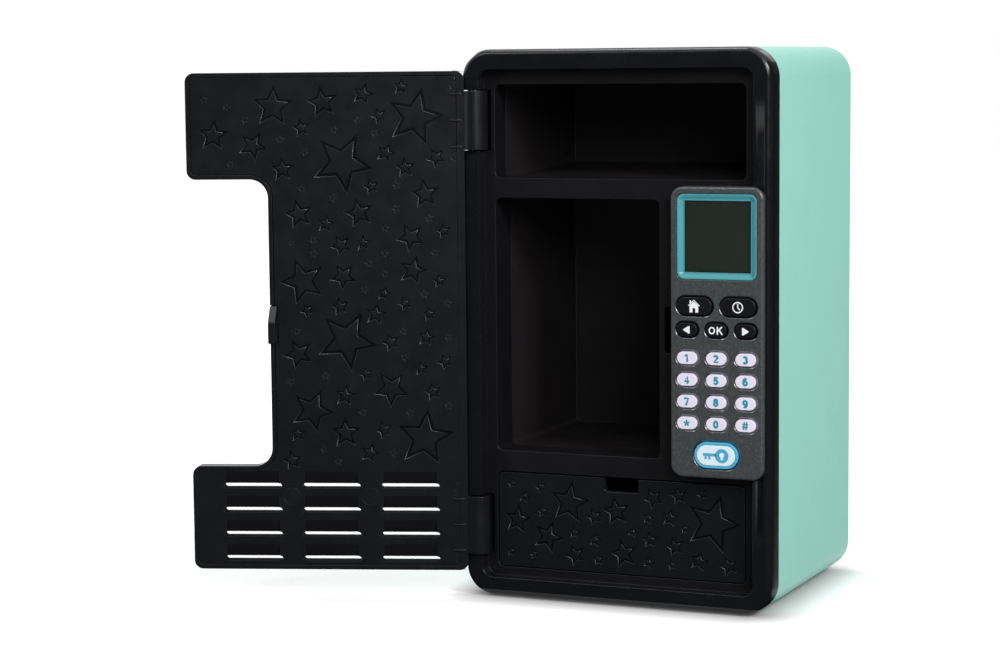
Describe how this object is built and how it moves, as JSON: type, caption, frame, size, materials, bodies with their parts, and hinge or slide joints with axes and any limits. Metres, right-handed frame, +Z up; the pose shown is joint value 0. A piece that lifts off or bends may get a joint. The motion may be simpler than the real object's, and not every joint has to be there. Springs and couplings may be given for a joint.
{
  "type": "toy safe",
  "caption": "Toy safe with rounded shell, swing door on side barrels, keypad console with small screen, two open compartments and a pull-out drawer.",
  "frame": {"origin": "middle of the sole of the front foot strip, 25 mm behind the front of the bezel and midway between the sides of the shell", "axes": "+X to the right seen from the front, +Y from the front to the rear, +Z up; the door is drawn open"},
  "size_m": [0.2998, 0.1865, 0.281],
  "materials": {
    "mint_shell": "satin",
    "black_gloss": "glossy",
    "black_satin": "fine grain",
    "drawer_black": "fine grain",
    "console_grey": "satin with fine sparkle",
    "screen_teal": "glossy",
    "screen_window": "glossy",
    "screen_dark": "matt",
    "key_white": "satin",
    "key_black": "satin",
    "key_blue": "glossy",
    "steel": "bare",
    "rubber_foot": "matt",
    "membrane": "matt",
    "board_green": "satin",
    "copper_winding": "bare",
    "cell": "printed sleeve"
  },
  "bodies": {
    "cabinet": {"outer_shell": "mint_shell", "front_frame": "black_gloss", "upper_liner": "black_satin", "main_liner": "black_satin", "drawer_housing": "black_satin", "liner_screws": "steel", "shell_screws": "steel", "feet": "rubber_foot", "hinge_pin_upper": "steel", "hinge_pin_lower": "steel", "console_face": "console_grey", "console_base": "black_satin", "console_screws": "steel", "screen_surround": "screen_teal", "screen_window": "screen_window", "screen_module": "screen_dark", "key_membrane": "membrane", "circuit_board": "board_green", "speaker": "steel", "battery_box": "black_satin", "batteries": "cell", "battery_contacts": "steel", "lock_housing": "black_satin", "lock_screws": "steel", "solenoid_coil": "copper_winding"},
    "door": {"door_shell": "black_satin", "door_liner": "black_satin", "door_plugs": "black_satin", "door_screws": "steel", "latch_hook": "black_satin"},
    "drawer": {"drawer_front": "drawer_black", "drawer_tray": "drawer_black"},
    "latch": {"latch_bolt": "steel", "solenoid_plunger": "steel"},
    "battery_lid": {"battery_door": "mint_shell", "battery_door_screw": "steel"},
    "key_home": {"key_home": "key_black"},
    "key_clock": {"key_clock": "key_black"},
    "key_left": {"key_left": "key_black"},
    "key_ok": {"key_ok": "key_black"},
    "key_right": {"key_right": "key_black"},
    "key_1": {"key_1": "key_white"},
    "key_2": {"key_2": "key_white"},
    "key_3": {"key_3": "key_white"},
    "key_4": {"key_4": "key_white"},
    "key_5": {"key_5": "key_white"},
    "key_6": {"key_6": "key_white"},
    "key_7": {"key_7": "key_white"},
    "key_8": {"key_8": "key_white"},
    "key_9": {"key_9": "key_white"},
    "key_star": {"key_star": "key_white"},
    "key_0": {"key_0": "key_white"},
    "key_hash": {"key_hash": "key_white"},
    "key_unlock": {"key_unlock": "key_blue", "unlock_cap": "key_white"}
  },
  "joints": [
    {"name": "door_hinge", "type": "hinge", "parent": "cabinet", "child": "door", "pos_m": [-0.0762, -0.022, 0.14], "axis": [0, 0, 1], "range_deg": [-8, 160]},
    {"name": "drawer_slide", "type": "slide", "parent": "cabinet", "child": "drawer", "axis": [0, 1, 0], "range_m": [-0.085, 0]},
    {"name": "latch_slide", "type": "slide", "parent": "cabinet", "child": "latch", "axis": [1, 0, 0], "range_m": [-0.007, 0]},
    {"name": "battery_lid_lift", "type": "slide", "parent": "cabinet", "child": "battery_lid", "axis": [0, 1, 0], "range_m": [0, 0.012]},
    {"name": "key_home_press", "type": "slide", "parent": "cabinet", "child": "key_home", "axis": [0, 1, 0], "range_m": [0, 0.001], "stiffness_N_per_m": 300},
    {"name": "key_clock_press", "type": "slide", "parent": "cabinet", "child": "key_clock", "axis": [0, 1, 0], "range_m": [0, 0.001], "stiffness_N_per_m": 300},
    {"name": "key_left_press", "type": "slide", "parent": "cabinet", "child": "key_left", "axis": [0, 1, 0], "range_m": [0, 0.001], "stiffness_N_per_m": 300},
    {"name": "key_ok_press", "type": "slide", "parent": "cabinet", "child": "key_ok", "axis": [0, 1, 0], "range_m": [0, 0.001], "stiffness_N_per_m": 300},
    {"name": "key_right_press", "type": "slide", "parent": "cabinet", "child": "key_right", "axis": [0, 1, 0], "range_m": [0, 0.001], "stiffness_N_per_m": 300},
    {"name": "key_1_press", "type": "slide", "parent": "cabinet", "child": "key_1", "axis": [0, 1, 0], "range_m": [0, 0.001], "stiffness_N_per_m": 300},
    {"name": "key_2_press", "type": "slide", "parent": "cabinet", "child": "key_2", "axis": [0, 1, 0], "range_m": [0, 0.001], "stiffness_N_per_m": 300},
    {"name": "key_3_press", "type": "slide", "parent": "cabinet", "child": "key_3", "axis": [0, 1, 0], "range_m": [0, 0.001], "stiffness_N_per_m": 300},
    {"name": "key_4_press", "type": "slide", "parent": "cabinet", "child": "key_4", "axis": [0, 1, 0], "range_m": [0, 0.001], "stiffness_N_per_m": 300},
    {"name": "key_5_press", "type": "slide", "parent": "cabinet", "child": "key_5", "axis": [0, 1, 0], "range_m": [0, 0.001], "stiffness_N_per_m": 300},
    {"name": "key_6_press", "type": "slide", "parent": "cabinet", "child": "key_6", "axis": [0, 1, 0], "range_m": [0, 0.001], "stiffness_N_per_m": 300},
    {"name": "key_7_press", "type": "slide", "parent": "cabinet", "child": "key_7", "axis": [0, 1, 0], "range_m": [0, 0.001], "stiffness_N_per_m": 300},
    {"name": "key_8_press", "type": "slide", "parent": "cabinet", "child": "key_8", "axis": [0, 1, 0], "range_m": [0, 0.001], "stiffness_N_per_m": 300},
    {"name": "key_9_press", "type": "slide", "parent": "cabinet", "child": "key_9", "axis": [0, 1, 0], "range_m": [0, 0.001], "stiffness_N_per_m": 300},
    {"name": "key_star_press", "type": "slide", "parent": "cabinet", "child": "key_star", "axis": [0, 1, 0], "range_m": [0, 0.001], "stiffness_N_per_m": 300},
    {"name": "key_0_press", "type": "slide", "parent": "cabinet", "child": "key_0", "axis": [0, 1, 0], "range_m": [0, 0.001], "stiffness_N_per_m": 300},
    {"name": "key_hash_press", "type": "slide", "parent": "cabinet", "child": "key_hash", "axis": [0, 1, 0], "range_m": [0, 0.001], "stiffness_N_per_m": 300},
    {"name": "key_unlock_press", "type": "slide", "parent": "cabinet", "child": "key_unlock", "axis": [0, 1, 0], "range_m": [0, 0.001], "stiffness_N_per_m": 300}
  ]
}
